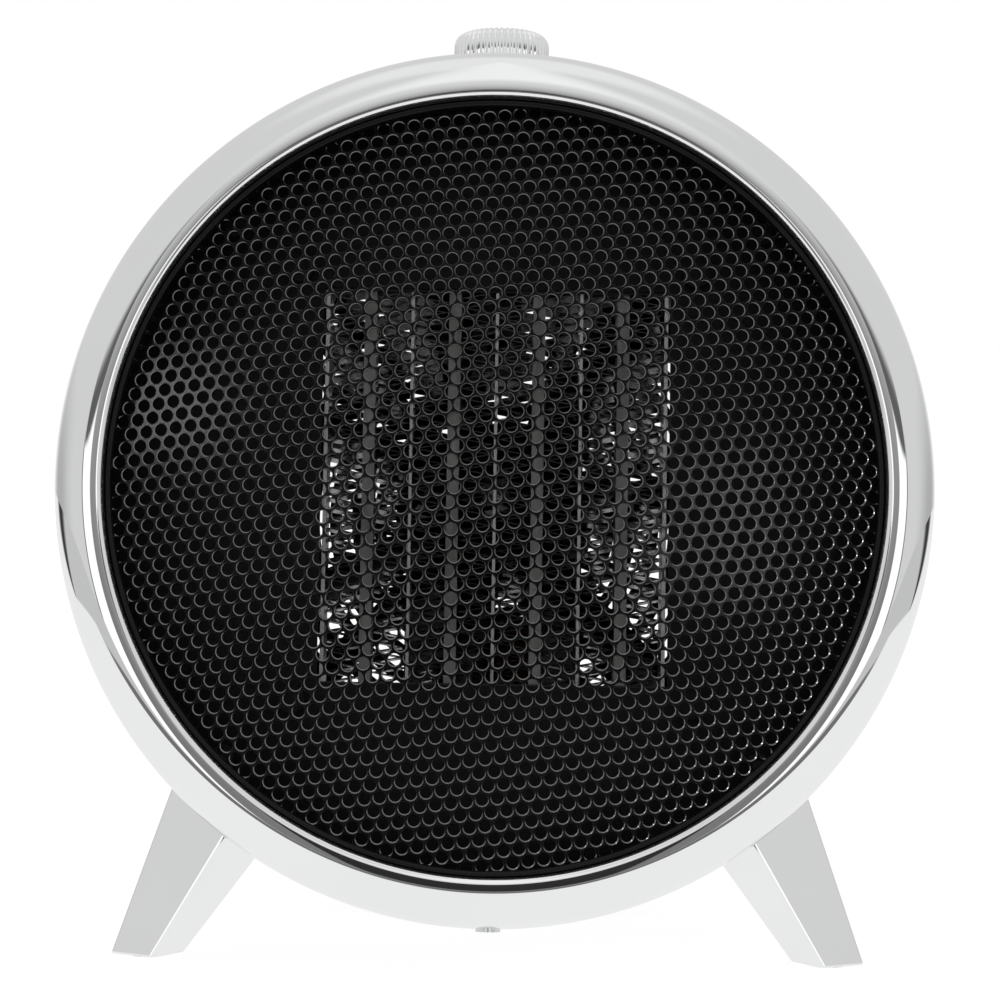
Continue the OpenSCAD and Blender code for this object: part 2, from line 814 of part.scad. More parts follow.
module coil_bobbin() {
  in0 = bobbin_clear;
  out = bobbin_clear + bobbin_wall;
  rim = out + winding_t + 0.6;
  zb = bar_top - bar_h;
  color("#e6e2d6") in_drum() difference() {
    union() {
      mid_box(bobbin_half_w, stack_front - out, stack_rear + out, zb - out, bar_top + out);
      for (s = [-1, 1]) translate([s * (bobbin_half_w - bobbin_wall / 2), 0, 0])
        mid_box(bobbin_wall / 2, stack_front - rim, stack_rear + rim, zb - rim, bar_top + rim);
    }
    mid_box(far, stack_front - in0, stack_rear + in0, zb - in0, bar_top + in0);
  }
}

module motor_winding() {
  in0 = bobbin_clear + bobbin_wall + slip;
  out = in0 + winding_t;
  half = bobbin_half_w - bobbin_wall - slip;
  zb = bar_top - bar_h;
  color("#a8632f") in_drum() difference() {
    mid_box(half, stack_front - out, stack_rear + out, zb - out, bar_top + out);
    mid_box(far, stack_front - in0, stack_rear + in0, zb - in0, bar_top + in0);
  }
}

module bearing_bracket(y_strap, y_cup, y_post) {
  // Strap with a bearing cup and two posts that stand on the stack
  difference() {
    union() {
      box(-strap_half_w, strap_half_w, y_strap, y_strap + strap_t, -strap_half_h, strap_half_h);
      bar(cup_r, y_cup, y_cup + post_len - rotor_inset + eps);
      for (s = [-1, 1]) translate([s * motor_screw_x, 0, 0]) bar(post_r, y_post, y_post + post_len);
    }
    bar(shaft_r + shaft_air, -far, far);
    for (s = [-1, 1]) translate([s * motor_screw_x, 0, 0]) bar(m3_clear_r, -far, far);
  }
}

module motor_front_bracket() {
  y_in = stack_front - rotor_inset;
  color("#b9bbbd") in_drum() difference() {
    bearing_bracket(arms_rear, arms_rear + strap_t, arms_rear + strap_t);
    bar(bearing_r + press, y_in - bearing_len, y_in + 1);
  }
}

module motor_rear_bracket() {
  y_in = stack_rear + rotor_inset;
  color("#b9bbbd") in_drum() difference() {
    bearing_bracket(stack_rear + post_len, stack_rear + rotor_inset, stack_rear);
    bar(bearing_r + press, y_in - 1, y_in + bearing_len);
  }
}

module front_bearing() {
  y_in = stack_front - rotor_inset;
  color("#a5793f") in_drum()
    pipe(bearing_r, shaft_r + bearing_run, y_in - bearing_len + slip, y_in - 0.2);
}

module rear_bearing() {
  y_in = stack_rear + rotor_inset;
  color("#a5793f") in_drum()
    pipe(bearing_r, shaft_r + bearing_run, y_in + 0.2, y_in + bearing_len - slip);
}

module motor_screws() {
  color("#8d8f91") in_drum() for (s = [-1, 1]) translate([s * motor_screw_x, 0, 0]) union() {
    bar(m3_r, arms_front - nut_h - 0.5, motor_rear + eps);
    bar(m3_head_r, motor_rear, motor_rear + m3_head_h);
  }
}

module motor_nuts() {
  color("#a2a4a6") in_drum() for (s = [-1, 1]) translate([s * motor_screw_x, 0, 0]) difference() {
    translate([0, arms_front - nut_h, 0]) rotate([-90, 0, 0])
      cylinder(r = nut_flat_r, h = nut_h, $fn = 6);
    bar(m3_r + press, arms_front - far, arms_front + 1);
  }
}

// Rear cover
module intake_slots() {
  difference() {
    for (r = [slot_first : slot_pitch : slot_last]) difference() {
      circle(r = r + slot_w / 2);
      circle(r = r - slot_w / 2);
    }
    for (i = [0 : ribs / 2 - 1]) rotate((i + 0.5) * 360 / ribs)
      translate([-far, -rib_w / 2]) square([2 * far, rib_w]);
    translate(inlet_r * [cos(cord_angle), sin(cord_angle)]) circle(r = inlet_pad_r + 3);
  }
}

module rear_cover() {
  color("#1f2023") in_drum() difference() {
    union() {
      pipe(drum_r, dome_r - 0.5, drum_len, drum_len + cover_t);
      turned() intersection() {
        difference() {
          translate([0, dome_c]) circle(r = dome_R, $fn = 720);
          translate([0, dome_c]) circle(r = dome_R - cover_t, $fn = 720);
        }
        square([dome_r, far]);
      }
      at_angle(cord_angle, inlet_r) bar(inlet_pad_r, inlet_front, inlet_rear);
    }
    flat(drum_len - 2, drum_len + cover_t + cover_dome + 2) intake_slots();
    at_angle(cord_angle, inlet_r) bar(bush_r + slip, inlet_front - 1, inlet_rear + 1);
    for (a = cover_angles) at_angle(a, rear_boss_r) {
      bar(m3_clear_r, drum_len - 1, drum_len + cover_t + 1);
      bar(m3_head_r + 0.4, drum_len + 1, drum_len + cover_t + 1);
    }
  }
}

module rear_cover_screws() {
  color("#3a3b3d") in_drum() for (a = cover_angles) at_angle(a, rear_boss_r) difference() {
    union() {
      bar(m3_r, drum_len - 8, drum_len + 1 + eps);
      bar(m3_head_r, drum_len + 1, drum_len + 1 + m3_head_h);
    }
    for (t = [0, 90]) rotate([0, t, 0])
      box(-1.6, 1.6, drum_len + 1 + m3_head_h - 1, drum_len + far, -0.35, 0.35);
  }
}

module cord_bush() {
  color("#141517") in_drum() at_angle(cord_angle, inlet_r) difference() {
    union() {
      bar(bush_r, inlet_front - bush_flange, inlet_rear + bush_flange);
      bar(bush_r + 1.4, inlet_rear, inlet_rear + bush_flange);
      bar(bush_r + 0.9, inlet_front - bush_flange, inlet_front);
    }
    bar(cord_bore_r, inlet_front - far, inlet_rear + far);
  }
}

module terminal_block() {
  color("#e8e4d8") in_drum() difference() {
    box(block_x - block_w / 2, block_x + block_w / 2, block_y - block_d / 2,
        block_y + block_d / 2, block_z, block_z + block_h);
    for (i = [-1, 0, 1]) {
      translate([block_x + i * 6, 0, block_z + block_h / 2])
        bar(1.6, block_y - block_d, block_y + block_d);
      translate([block_x + i * 6, block_y, block_z + block_h / 2])
        cylinder(r = 1.3, h = block_h);
    }
  }
}

// Legs. side is -1 on the left and 1 on the right, front is true for the front pair
function foot_centre_y(front) = front ? front_foot_y : rear_foot_y;
function leg_inward(front) = front ? leg_shift_y : -leg_shift_y;

module in_stand() {
  translate([0, drum_y, 0]) children();
}

module leg_corners(x, y, z, half, round, turn) {
  translate([x, y, z]) rotate(turn) for (i = [-1, 1]) for (j = [-1, 1]) {
    translate([i * (half - round), j * (half - round), 0])
      cylinder(r = round, h = 0.5, $fn = 32);
  }
}

module on_leg_screw(side, front) {
  // The screw's line, in the drum's frame: a radius through the leg's axis, z outwards
  f = leg_screw_h / leg_top_h;
  x = foot_x - f * leg_shift_x;
  y = foot_centre_y(front) + f * leg_inward(front);
  z = leg_screw_h - axis_h;
  y_local = y * cos(tilt) - z * sin(tilt);
  z_local = y * sin(tilt) + z * cos(tilt);
  along_radius(atan2(z_local, side * x), y_local) children();
}

module leg_screw_bore(side, front, r) {
  on_leg_screw(side, front) translate([0, 0, drum_in - 3])
    cylinder(r = r, h = 3 + shell_wall + leg_screw_reach + 1);
}

module leg(side, front) {
  turn = (side > 0 ? 1 : -1) * (front ? 1 : -1) * leg_turn;
  y = foot_centre_y(front);
  color("#e2e4e6") difference() {
    in_stand() hull() {
      leg_corners(side * foot_x, y, pad_proud, foot_side / 2, foot_round, turn);
      leg_corners(side * (foot_x - leg_shift_x), y + leg_inward(front), leg_top_h - 0.5,
                  leg_top_side / 2, top_round, turn);
    }
    in_drum() bar(drum_r, -far / 2, far);
    in_drum() leg_screw_bore(side, front, leg_screw_shank_r + slip);
    in_stand() translate([side * foot_x, y, 0]) cylinder(r = pad_r + slip, h = pad_t);
  }
}

module leg_front_left() { leg(-1, true); }

module leg_front_right() { leg(1, true); }

module leg_rear_left() { leg(-1, false); }

module leg_rear_right() { leg(1, false); }

module leg_screws() {
  // Each head sits flat against the curved wall on its two sides
  seat = drum_in * cos(asin(leg_screw_head_r / drum_in));
  color("#8d8f91") in_drum() for (s = [-1, 1]) for (f = [true, false]) on_leg_screw(s, f) {
    translate([0, 0, seat - leg_screw_head_h]) cylinder(r = leg_screw_head_r, h = leg_screw_head_h);
    translate([0, 0, seat - eps]) cylinder(r = leg_screw_shank_r, h = shell_wall + leg_screw_reach);
  }
}

module foot_pads() {
  color("#2b2c2e") in_stand() for (s = [-1, 1]) for (f = [true, false]) {
    translate([s * foot_x, foot_centre_y(f), 0]) cylinder(r = pad_r, h = pad_t);
  }
}

// Controls
module in_knob() {
  in_drum() translate([0, knob_y, 0]) children();
}

module dial_plate() {
  color("#222326") difference() {
    in_knob() cylinder(r = dial_r, h = dial_top);
    in_drum() bar(drum_r, -far / 2, far);
    in_knob() cylinder(r = bushing_r + fit, h = far);
  }
}

module knob_outline() {
  union() {
    square([knob_r, knob_h - knob_shoulder]);
    square([knob_r - knob_shoulder, knob_h]);
    translate([knob_r - knob_shoulder, knob_h - knob_shoulder]) circle(r = knob_shoulder);
  }
}

module control_knob() {
  color("#dcdee0") in_knob() translate([0, 0, knob_base]) difference() {
    rotate_extrude() intersection() {
      knob_outline();
      square([far, far]);
    }
    for (i = [0 : knob_ridges - 1]) rotate(i * 360 / knob_ridges)
      translate([knob_r + 0.25, 0, 0.8]) cylinder(r = knob_groove_r, h = far, $fn = 24);
    translate([0, 0, -1]) cylinder(r = knob_hollow_r, h = knob_hollow_h + 1);
    cylinder(r = switch_shaft_r + 0.03, h = switch_shaft_top - knob_base + 0.3);
    translate([-0.5, -knob_r, knob_h - 0.5]) cube([1, knob_r - 4, 2]);
  }
}

module switch_body() {
  color("#2d2e31") in_knob() difference() {
    union() {
      mid_box(switch_half_w, -switch_half_d, switch_half_d, switch_floor, switch_top);
      translate([0, 0, switch_top - eps]) cylinder(r = switch_collar_r, h = switch_collar_h);
      translate([0, 0, switch_top - eps]) cylinder(r = bushing_r, h = bushing_top - switch_top);
    }
    translate([0, 0, switch_shaft_foot - slip])
      cylinder(r = switch_shaft_r + slip, h = far);
  }
}

module switch_shaft() {
  color("#d0b060") in_knob() translate([0, 0, switch_shaft_foot])
    cylinder(r = switch_shaft_r, h = switch_shaft_top - switch_shaft_foot);
}

module switch_nut() {
  color("#a2a4a6") in_knob() difference() {
    translate([0, 0, dial_top]) cylinder(r = switch_nut_r, h = switch_nut_h, $fn = 6);
    cylinder(r = bushing_r + press, h = far);
  }
}

module switch_terminals() {
  color("#c8a04a") in_knob() for (i = [-1, 0, 1]) for (s = [-1, 1]) {
    translate([i * 8, s * 5, switch_floor - switch_tab])
      mid_box(2.4, -0.4, 0.4, 0, switch_tab);
  }
}

// Tilt switch: a weight on a pin, hanging plumb in a box that leans with the drum
module tip_switch_case() {
  color("#d9dbdc") in_drum() translate([0, tip_y, -tip_floor]) difference() {
    box(-tip_half_w, tip_half_w, -tip_half_d, tip_half_d, 0, tip_h);
    box(-tip_half_w + tip_wall, tip_half_w - tip_wall, -tip_half_d + tip_wall,
        tip_half_d - tip_wall, tip_wall, tip_h + 1);
    translate([-far / 2, 0, tip_pin_up]) rotate([0, 90, 0])
      cylinder(r = tip_pin_r + press, h = far);
  }
}

module tip_pivot_pin() {
  color("#b8babc") in_drum() translate([-tip_half_w - 0.6, tip_y, tip_pin_z]) rotate([0, 90, 0])
    cylinder(r = tip_pin_r, h = 2 * tip_half_w + 1.2);
}

module tip_pendulum() {
  eye_half = pendulum_r - 0.5;
  color("#b08d3e") in_drum() translate([0, tip_y, tip_pin_z]) rotate([tilt, 0, 0]) difference() {
    union() {
      translate([-eye_half, 0, 0]) rotate([0, 90, 0]) cylinder(r = tip_eye_r, h = 2 * eye_half);
      translate([0, 0, -pendulum_len + 1]) cylinder(r = tip_stem_r, h = pendulum_len - 1);
      translate([0, 0, -pendulum_len]) cylinder(r = pendulum_r, h = tip_weight_h);
    }
    translate([-far / 2, 0, 0]) rotate([0, 90, 0]) cylinder(r = tip_pin_r + slip, h = far);
  }
}

module tip_contacts() {
  color("#c8a04a") in_drum() translate([0, tip_y, -tip_floor]) for (s = [-1, 1]) {
    box(tip_half_w, tip_half_w + 6, s * 6 - 2, s * 6 + 2, tip_h - 6, tip_h - 5.2);
  }
}

drum_housing();
front_bezel();
grille_trim_ring();
front_grille();
bezel_screw();
outlet_baffle();
baffle_screws();
element_top_cap();
element_bottom_cap();
ptc_tubes();
ptc_ceramics();
fin_packs();
fin_separators();
element_side_rails();
element_terminals();
element_screws();
thermal_cutoff();
cutoff_bracket();
thermal_fuse();
fan_shroud();
shroud_screws();
fan_impeller();
impeller_nut();
motor_shaft();
motor_rotor();
motor_stator();
motor_winding();
coil_bobbin();
motor_front_bracket();
motor_rear_bracket();
front_bearing();
rear_bearing();
motor_screws();
motor_nuts();
rear_cover();
rear_cover_screws();
cord_bush();
terminal_block();
leg_front_left();
leg_front_right();
leg_rear_left();
leg_rear_right();
leg_screws();
foot_pads();
dial_plate();
control_knob();
switch_body();
switch_shaft();
switch_nut();
switch_terminals();
tip_switch_case();
tip_pendulum();
tip_pivot_pin();
tip_contacts();
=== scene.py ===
import json
from math import acos, asin, atan2, cos, degrees, pi, radians, sin, sqrt

import bpy
from mathutils import Matrix, Vector


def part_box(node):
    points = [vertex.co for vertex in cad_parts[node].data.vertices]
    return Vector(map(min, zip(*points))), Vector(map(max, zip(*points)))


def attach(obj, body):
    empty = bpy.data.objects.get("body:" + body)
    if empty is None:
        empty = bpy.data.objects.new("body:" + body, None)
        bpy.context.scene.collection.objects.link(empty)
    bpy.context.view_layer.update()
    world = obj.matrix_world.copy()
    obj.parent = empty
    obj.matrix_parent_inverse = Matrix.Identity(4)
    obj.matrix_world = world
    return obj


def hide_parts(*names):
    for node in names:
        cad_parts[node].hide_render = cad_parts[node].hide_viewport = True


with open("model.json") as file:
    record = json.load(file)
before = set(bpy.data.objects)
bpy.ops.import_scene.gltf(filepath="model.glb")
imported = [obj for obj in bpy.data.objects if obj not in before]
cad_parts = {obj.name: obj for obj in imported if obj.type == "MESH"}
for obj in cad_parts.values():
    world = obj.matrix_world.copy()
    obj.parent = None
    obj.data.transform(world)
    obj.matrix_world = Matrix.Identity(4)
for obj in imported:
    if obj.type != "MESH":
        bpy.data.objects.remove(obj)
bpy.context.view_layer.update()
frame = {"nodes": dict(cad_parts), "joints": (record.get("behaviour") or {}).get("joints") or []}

nodes = frame["nodes"]

# Viewpoint
# The heater is seen straight from the front, level with the middle of its bezel, from 0.8 m.
# The bezel's widest circle is where the drum's axis crosses that level.
spin = next(joint for joint in frame["joints"] if joint["name"] == "fan_spin")
drum_axis = Vector(spin["axis"])
bezel_low, bezel_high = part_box("front_bezel")
ring_height = (bezel_low.z + bezel_high.z) / 2
ring_centre = Vector(spin["pos_m"])
ring_centre += drum_axis * (ring_height - ring_centre.z) / drum_axis.z
drum_lean = atan2(-drum_axis.z, drum_axis.y)
in_drum = Matrix.Translation(ring_centre) @ Matrix.Rotation(-drum_lean, 4, "X")

camera_distance = 0.800
view_width = 0.25707
camera_roll = radians(0.9)
sensor_width = 36
bpy.ops.object.camera_add(
    location=ring_centre - Vector((0, camera_distance, 0)), rotation=(pi / 2, -camera_roll, 0))
camera = bpy.context.object
camera.data.sensor_width = sensor_width
camera.data.lens = sensor_width * camera_distance / view_width
camera.data.shift_x = 0.0052
camera.data.shift_y = -0.0139
camera.data.clip_start = 0.01
bpy.context.scene.camera = camera
bpy.context.scene.view_settings.view_transform = "Standard"

# Studio
# The heater stands on a white table in a pale room. Where the camera stands it is dark, with a
# white screen on either side of it, and two small soft lamps light the grille and the fins.
floor_size = 40
floor_white = 0.80
pale_white = 0.42
camera_lift = 0.79
table_front = (-0.43, -0.40)
table_side = 0.54
table_side_blur = 0.03
table_glow = 0.90
table_edge_gap = 0.05
gap_start = (0.00, 0.30)
gap_end = (0.50, 0.90)
beyond_front = 0.17
beyond_side = 0.58
beyond_turn = (0.42, 0.50)
bpy.ops.mesh.primitive_plane_add(size=floor_size, location=(0, 0, 0))
floor = bpy.context.object
floor.name = "studio_floor"
paper = bpy.data.materials.new("table_paper")
paper.use_nodes = True
tree = paper.node_tree
tree.nodes.clear()


def room_math(operation, a, b=0.0):
    """One sum on two numbers or sockets of the studio's tree."""
    node = tree.nodes.new("ShaderNodeMath")
    node.operation = operation
    for socket, value in zip(node.inputs, (a, b)):
        if isinstance(value, bpy.types.NodeSocket):
            tree.links.new(value, socket)
        else:
            socket.default_value = value
    return node.outputs[0]


def room_step(value, span, low, high):
    """Goes smoothly from low to high where the value crosses the span."""
    node = tree.nodes.new("ShaderNodeMapRange")
    node.interpolation_type = "SMOOTHSTEP"
    tree.links.new(value, node.inputs["Value"])
    for name, number in zip(("From Min", "From Max"), span):
        node.inputs[name].default_value = number
    for name, number in zip(("To Min", "To Max"), (low, high)):
        if isinstance(number, bpy.types.NodeSocket):
            tree.links.new(number, node.inputs[name])
        else:
            node.inputs[name].default_value = number
    return node.outputs["Result"]


def room_mix(chance, first, second):
    """The first shader where the chance is 0, the second where it is 1."""
    node = tree.nodes.new("ShaderNodeMixShader")
    for socket, source in zip(node.inputs, (chance, first, second)):
        tree.links.new(source, socket)
    return node.outputs[0]


place = tree.nodes.new("ShaderNodeTexCoord")
spot = tree.nodes.new("ShaderNodeSeparateXYZ")
tree.links.new(place.outputs["Object"], spot.inputs[0])
out_side = room_math("ABSOLUTE", spot.outputs["X"])
beyond = room_step(out_side, beyond_turn, beyond_front, beyond_side)
past_edge = room_math("MAXIMUM", room_math("SUBTRACT", out_side, table_side), 0.001)
turned_back = room_math("DIVIDE", spot.outputs["Y"], past_edge)
edge = room_step(turned_back, gap_start, beyond_side, table_edge_gap)
edge = room_step(turned_back, gap_end, edge, table_glow)
table = room_step(out_side, (table_side, table_side + table_side_blur), table_glow, edge)
table = room_step(spot.outputs["Y"], table_front, beyond, table)
seen = tree.nodes.new("ShaderNodeLightPath")
matt = tree.nodes.new("ShaderNodeBsdfDiffuse")
matt.inputs["Color"].default_value = (floor_white, floor_white, floor_white, 1)
pale = tree.nodes.new("ShaderNodeBsdfDiffuse")
pale.inputs["Color"].default_value = (pale_white, pale_white, pale_white, 1)
lift = tree.nodes.new("ShaderNodeEmission")
lift.inputs["Strength"].default_value = camera_lift
lifted = tree.nodes.new("ShaderNodeAddShader")
tree.links.new(pale.outputs[0], lifted.inputs[0])
tree.links.new(lift.outputs[0], lifted.inputs[1])
mirrored = tree.nodes.new("ShaderNodeEmission")
tree.links.new(table, mirrored.inputs["Strength"])
paper_look = room_mix(seen.outputs["Is Glossy Ray"], matt.outputs[0], mirrored.outputs[0])
paper_look = room_mix(seen.outputs["Is Camera Ray"], paper_look, lifted.outputs[0])
paper_out = tree.nodes.new("ShaderNodeOutputMaterial")
tree.links.new(paper_look, paper_out.inputs["Surface"])
floor.data.materials.append(paper)

world = bpy.data.worlds.new("studio_room")
bpy.context.scene.world = world
world.use_nodes = True
tree = world.node_tree
tree.nodes.clear()
screen_white = 1.15
camera_gloom = 0.20
screen_top_gap = 0.12
screen_side_gap = 0.22
wall_front = 0.69
wall_low_side = 0.46
wall_back = 0.86
wall_high = 0.69
over_front = 0.95
ceiling_light = 0.86


def degrees_span(start, end):
    """A span of directions, given in degrees."""
    return radians(start), radians(end)


direction = tree.nodes.new("ShaderNodeTexCoord")
parts = tree.nodes.new("ShaderNodeSeparateXYZ")
tree.links.new(direction.outputs["Generated"], parts.inputs[0])
aside = room_math(
    "ABSOLUTE",
    room_math("ARCTAN2", parts.outputs["X"], room_math("MULTIPLY", parts.outputs["Y"], -1.0)))
height = room_math("ARCSINE", parts.outputs["Z"])
above_wall = degrees_span(13.5, 19)
wall = room_step(aside, degrees_span(55, 110), wall_front, wall_low_side)
wall = room_step(aside, degrees_span(122, 158), wall, wall_back)
wall = room_step(height, degrees_span(2, 20), wall, wall_high)
overhead = room_step(height, degrees_span(55, 75), wall_high, ceiling_light)
above = room_step(aside, degrees_span(3, 18), over_front, overhead)
above = room_step(height, degrees_span(17, 34), wall_high, above)
screens = room_step(height, degrees_span(11, 11.8), screen_white, screen_top_gap)
screens = room_step(height, above_wall, screens, above)
gloom = room_step(height, degrees_span(7, 18), camera_gloom, above)
front = room_step(aside, degrees_span(6.3, 7), gloom, screens)
screen_edge = room_step(height, degrees_span(10, 14), screen_side_gap, above)
front = room_step(aside, degrees_span(26.5, 27), front, screen_edge)
walls = room_step(height, above_wall, wall, above)
room = room_step(aside, degrees_span(29.2, 30), front, walls)
seen = tree.nodes.new("ShaderNodeLightPath")
room_glow = tree.nodes.new("ShaderNodeBackground")
tree.links.new(room, room_glow.inputs["Color"])
white = tree.nodes.new("ShaderNodeBackground")
white.inputs["Color"].default_value = (1, 1, 1, 1)
world_out = tree.nodes.new("ShaderNodeOutputWorld")
tree.links.new(
    room_mix(seen.outputs["Is Camera Ray"], room_glow.outputs[0], white.outputs[0]),
    world_out.inputs["Surface"])

lamp_distance = 1.5
lamps = (("left", -38, 16.5, 0.32, 0.26, 7.0), ("right", 26.5, 5.5, 0.34, 0.44, 5.4))
lamp_lit = bpy.data.collections.new("lit_by_lamps")
for name, across, up, wide, tall, power in lamps:
    across, up = radians(across), radians(up)
    out = Vector((sin(across) * cos(up), -cos(across) * cos(up), sin(up)))
    bpy.ops.object.light_add(type="AREA", location=ring_centre + out * lamp_distance)
    lamp = bpy.context.object
    lamp.name = "soft_lamp_" + name
    lamp.rotation_euler = out.to_track_quat("Z", "Y").to_euler()
    lamp.data.shape = "RECTANGLE"
    lamp.data.size = wide
    lamp.data.size_y = tall
    lamp.data.energy = power
    lamp.visible_camera = False
    lamp.light_linking.receiver_collection = lamp_lit

body_width = 0.14
body_height = 0.16
body_behind = 0.02
body_dark = 0.015
bpy.ops.mesh.primitive_plane_add(
    size=1, location=ring_centre - Vector((0, camera_distance + body_behind, 0)),
    rotation=(pi / 2, 0, 0))
camera_body = bpy.context.object
camera_body.name = "camera_body"
camera_body.scale = (body_width, body_height, 1)
camera_body.visible_camera = False
camera_body.visible_diffuse = False
camera_body.visible_shadow = False
camera_black = bpy.data.materials.new("camera_black")
camera_black.use_nodes = True
body_shader = camera_black.node_tree.nodes["Principled BSDF"]
body_shader.inputs["Base Color"].default_value = (body_dark, body_dark, body_dark, 1)
camera_body.data.materials.append(camera_black)

# Drum
# The shell is a rolled and plated steel drum, 219 mm across, with its screw bosses inside.
# The chrome plate is nearly a mirror, with a faint haze of fine wiping marks.
noise_low = 0.3
noise_high = 0.7


def finish(name, metallic=0.0, shine=0.5):
    """A new material, which tint then colours and vary makes smooth or rough."""
    made = bpy.data.materials.new(name)
    made.use_nodes = True
    shader = made.node_tree.nodes["Principled BSDF"]
    shader.inputs["Metallic"].default_value = metallic
    shader.inputs["Specular IOR Level"].default_value = shine
    return made


def grain(made, size, stretch=(1, 1, 1), detail=4.0):
    """Noise on the piece's own coordinates; size is that of one grain, in metres."""
    tree = made.node_tree
    place = tree.nodes.new("ShaderNodeTexCoord")
    mapping = tree.nodes.new("ShaderNodeMapping")
    mapping.inputs["Scale"].default_value = stretch
    noise = tree.nodes.new("ShaderNodeTexNoise")
    noise.inputs["Scale"].default_value = 1 / size
    noise.inputs["Detail"].default_value = detail
    tree.links.new(place.outputs["Object"], mapping.inputs["Vector"])
    tree.links.new(mapping.outputs["Vector"], noise.inputs["Vector"])
    return noise.outputs["Fac"]


def vary(made, fac, low, high):
    """Drives the roughness between two values."""
    tree = made.node_tree
    spread = tree.nodes.new("ShaderNodeMapRange")
    spread.inputs["From Min"].default_value = noise_low
    spread.inputs["From Max"].default_value = noise_high
    spread.inputs["To Min"].default_value = low
    spread.inputs["To Max"].default_value = high
    tree.links.new(fac, spread.inputs["Value"])
    tree.links.new(spread.outputs["Result"], tree.nodes["Principled BSDF"].inputs["Roughness"])


def tint(made, fac, dark, light):
    """Drives the colour between two colours."""
    tree = made.node_tree
    ramp = tree.nodes.new("ShaderNodeValToRGB")
    ramp.color_ramp.elements[0].position = noise_low
    ramp.color_ramp.elements[1].position = noise_high
    ramp.color_ramp.elements[0].color = (*dark, 1)
    ramp.color_ramp.elements[1].color = (*light, 1)
    tree.links.new(fac, ramp.inputs["Fac"])
    tree.links.new(ramp.outputs["Color"], tree.nodes["Principled BSDF"].inputs["Base Color"])


def relief(made, fac, height):
    """Bump of a real height in metres."""
    tree = made.node_tree
    bump = tree.nodes.new("ShaderNodeBump")
    bump.inputs["Strength"].default_value = 1.0
    bump.inputs["Distance"].default_value = height
    tree.links.new(fac, bump.inputs["Height"])
    tree.links.new(bump.outputs["Normal"], tree.nodes["Principled BSDF"].inputs["Normal"])


def chrome_plate(name, haze=0.035, bright=0.90):
    """Bright chrome with fine wiping marks, a faint cloud and the waviness of the metal below."""
    made = finish(name, metallic=1.0)
    wiped = grain(made, 0.0011, stretch=(1, 0.12, 1))
    vary(made, wiped, haze * 0.7, haze * 1.6)
    tint(made, grain(made, 0.045, detail=2.0),
         (bright - 0.014, bright - 0.01, bright - 0.008),
         (bright + 0.008, bright + 0.012, bright + 0.014))
    relief(made, grain(made, 0.02, detail=1.0), 0.000004)
    return made


def dress(made, *names):
    """Gives CAD nodes a material in place of their plain one."""
    for name in names:
        nodes[name].data.materials.clear()
        nodes[name].data.materials.append(made)


dress(chrome_plate("drum_chrome"), "drum_housing")

# Bezel
# A pressed brass ring, chromed, that slips over the drum's front edge. It is half round outside
# and nearly flat from its crest to the opening, where the metal is rolled over the grille's rim.
bezel_middle = 0.103
bezel_round = 0.010
bezel_wall = 0.0022
bezel_rear = 0.0065
drum_radius = 0.1095
flat_round = 0.028
opening_radius = 0.0997
roll_round = 0.0018
roll_seat = -0.0015
ring_steps = 512
outer_steps = 72
inner_steps = 24
edge_steps = 12
slip = 0.0001


def deselect():
    """Clears the selection, so that the next operator works on its own piece alone."""
    bpy.ops.object.select_all(action="DESELECT")


pen = Vector((0, 0))


def start_profile(name, radius, depth):
    """A new piece that holds one point of its section, at a radius and a depth."""
    deselect()
    bpy.ops.mesh.primitive_plane_add(location=(0, 0, 0))
    bpy.context.object.name = name
    bpy.ops.object.mode_set(mode="EDIT")
    bpy.ops.mesh.select_mode(type="VERT")
    bpy.ops.mesh.merge(type="CENTER")
    bpy.ops.transform.translate(value=(radius, depth, 0))
    pen[:] = (radius, depth)
    return bpy.context.object


def line_to(radius, depth):
    """Draws the section straight on."""
    bpy.ops.mesh.extrude_vertices_move(
        TRANSFORM_OT_translate={"value": (radius - pen.x, depth - pen.y, 0)})
    pen[:] = (radius, depth)


def arc_about(centre, turn, steps):
    """Draws the section on round a centre; a positive turn goes from outwards to the back."""
    bpy.ops.mesh.spin(steps=steps, angle=radians(turn), center=(*centre, 0), axis=(0, 0, -1))
    pen[:] = Matrix.Rotation(radians(turn), 2) @ (pen - Vector(centre)) + Vector(centre)


def turn_on_lathe(steps, closed=True):
    """Spins the section once round the drum's axis and closes the seam."""
    bpy.ops.mesh.select_all(action="SELECT")
    if closed:
        bpy.ops.mesh.edge_face_add()
        bpy.ops.mesh.delete(type="ONLY_FACE")
        bpy.ops.mesh.select_all(action="SELECT")
    bpy.ops.mesh.spin(steps=steps, angle=2 * pi, center=(0, 0, 0), axis=(0, 1, 0))
    bpy.ops.mesh.select_all(action="SELECT")
    bpy.ops.mesh.remove_doubles(threshold=1e-6)
    bpy.ops.mesh.normals_make_consistent(inside=False)
    bpy.ops.object.mode_set(mode="OBJECT")


def settle(piece, body="root", made=None, smooth=40, place=in_drum):
    """Puts a piece that was made in the drum's own frame in its place for good."""
    deselect()
    piece.select_set(True)
    bpy.context.view_layer.objects.active = piece
    piece.matrix_world = place @ piece.matrix_world
    bpy.ops.object.transform_apply(location=True, rotation=True, scale=True)
    bpy.ops.object.shade_smooth_by_angle(angle=radians(smooth))
    if made:
        piece.data.materials.clear()
        piece.data.materials.append(made)
    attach(piece, body)


